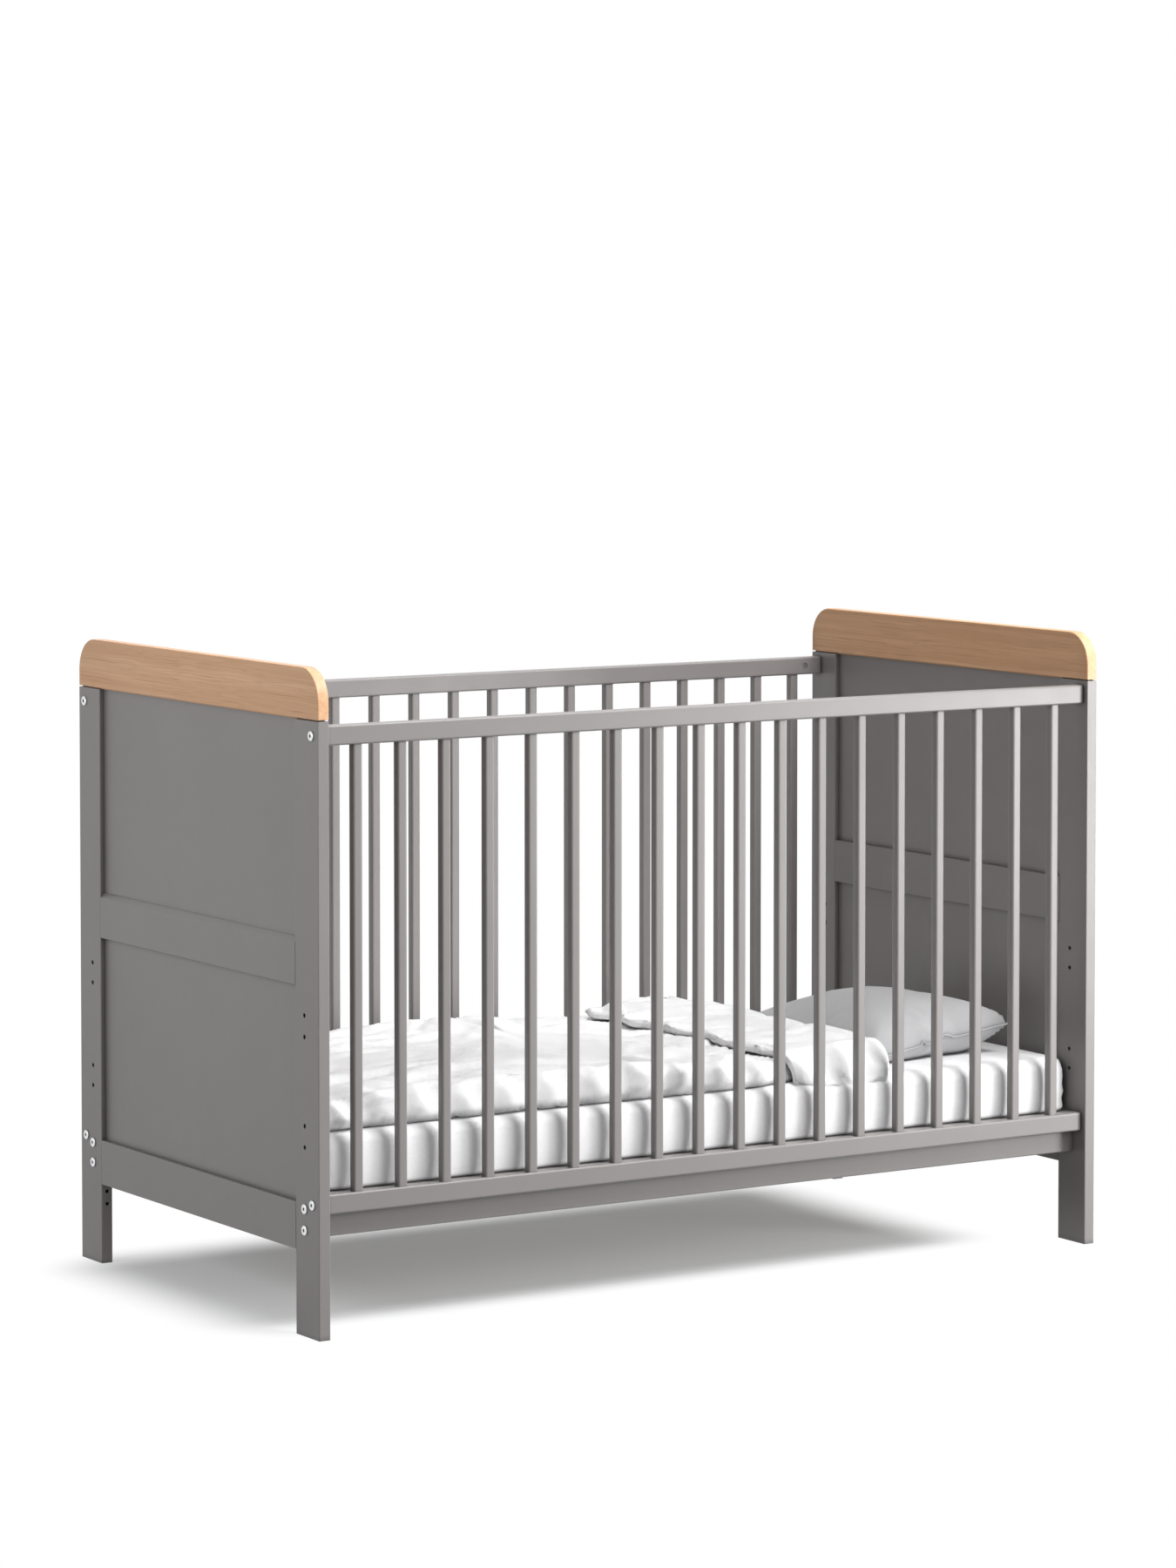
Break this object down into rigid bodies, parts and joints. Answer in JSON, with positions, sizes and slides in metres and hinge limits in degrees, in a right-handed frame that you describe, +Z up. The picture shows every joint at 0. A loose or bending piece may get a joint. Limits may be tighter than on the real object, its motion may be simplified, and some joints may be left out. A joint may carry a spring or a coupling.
{
  "type": "baby crib",
  "caption": "Slatted cot bed with panelled ends capped by rounded oak rails, a bolted slatted base at the lowest of its levels, and a mattress, duvet and pillow.",
  "frame": {"origin": "on the floor, under the middle of the bed", "axes": "+X from the foot end to the head end where the pillow lies, +Y from the front side to the rear side, +Z up"},
  "size_m": [1.449, 0.78, 0.997],
  "materials": {
    "grey_paint": "satin warm grey paint on wood",
    "oak": "clear-lacquered oak with the grain along the rail",
    "pine": "planed bare softwood",
    "beech": "fluted bare hardwood",
    "zinc": "bright zinc plate",
    "mattress_cover": "white cotton fitted cover",
    "duvet_cotton": "white crinkled cotton",
    "pillow_cotton": "plain pale cotton with a piped seam"
  },
  "bodies": {
    "frame": {"base_barrel_nuts": "zinc", "base_bolts": "zinc", "base_front_ledger": "pine", "base_front_rail": "grey_paint", "base_rear_ledger": "pine", "base_rear_rail": "grey_paint", "base_slat_01": "pine", "base_slat_02": "pine", "base_slat_03": "pine", "base_slat_04": "pine", "base_slat_05": "pine", "base_slat_06": "pine", "base_slat_07": "pine", "base_slat_08": "pine", "base_slat_09": "pine", "base_slat_10": "pine", "base_slat_11": "pine", "base_slat_12": "pine", "base_slat_13": "pine", "base_slat_screws": "zinc", "foot_bottom_rail": "grey_paint", "foot_dowels": "beech", "foot_front_leg": "grey_paint", "foot_lower_panel": "grey_paint", "foot_middle_rail": "grey_paint", "foot_rear_leg": "grey_paint", "foot_top_rail": "oak", "foot_upper_panel": "grey_paint", "front_side_bottom_rail": "grey_paint", "front_side_slats": "grey_paint", "front_side_top_rail": "grey_paint", "head_bottom_rail": "grey_paint", "head_dowels": "beech", "head_front_leg": "grey_paint", "head_lower_panel": "grey_paint", "head_middle_rail": "grey_paint", "head_rear_leg": "grey_paint", "head_top_rail": "oak", "head_upper_panel": "grey_paint", "rear_side_bottom_rail": "grey_paint", "rear_side_slats": "grey_paint", "rear_side_top_rail": "grey_paint", "side_barrel_nuts": "zinc", "side_bottom_bolts": "zinc", "side_top_bolts": "zinc"},
    "mattress": {"mattress": "mattress_cover"},
    "duvet": {"duvet": "duvet_cotton"},
    "pillow": {"pillow": "pillow_cotton"}
  },
  "joints": [
    {"name": "mattress_lift", "type": "slide", "parent": "frame", "child": "mattress", "axis": [0, 0, 1], "range_m": [0, 0.85]},
    {"name": "duvet_lift", "type": "slide", "parent": "mattress", "child": "duvet", "axis": [0, 0, 1], "range_m": [0, 0.75]},
    {"name": "pillow_lift", "type": "slide", "parent": "mattress", "child": "pillow", "axis": [0, 0, 1], "range_m": [0, 0.75]}
  ]
}
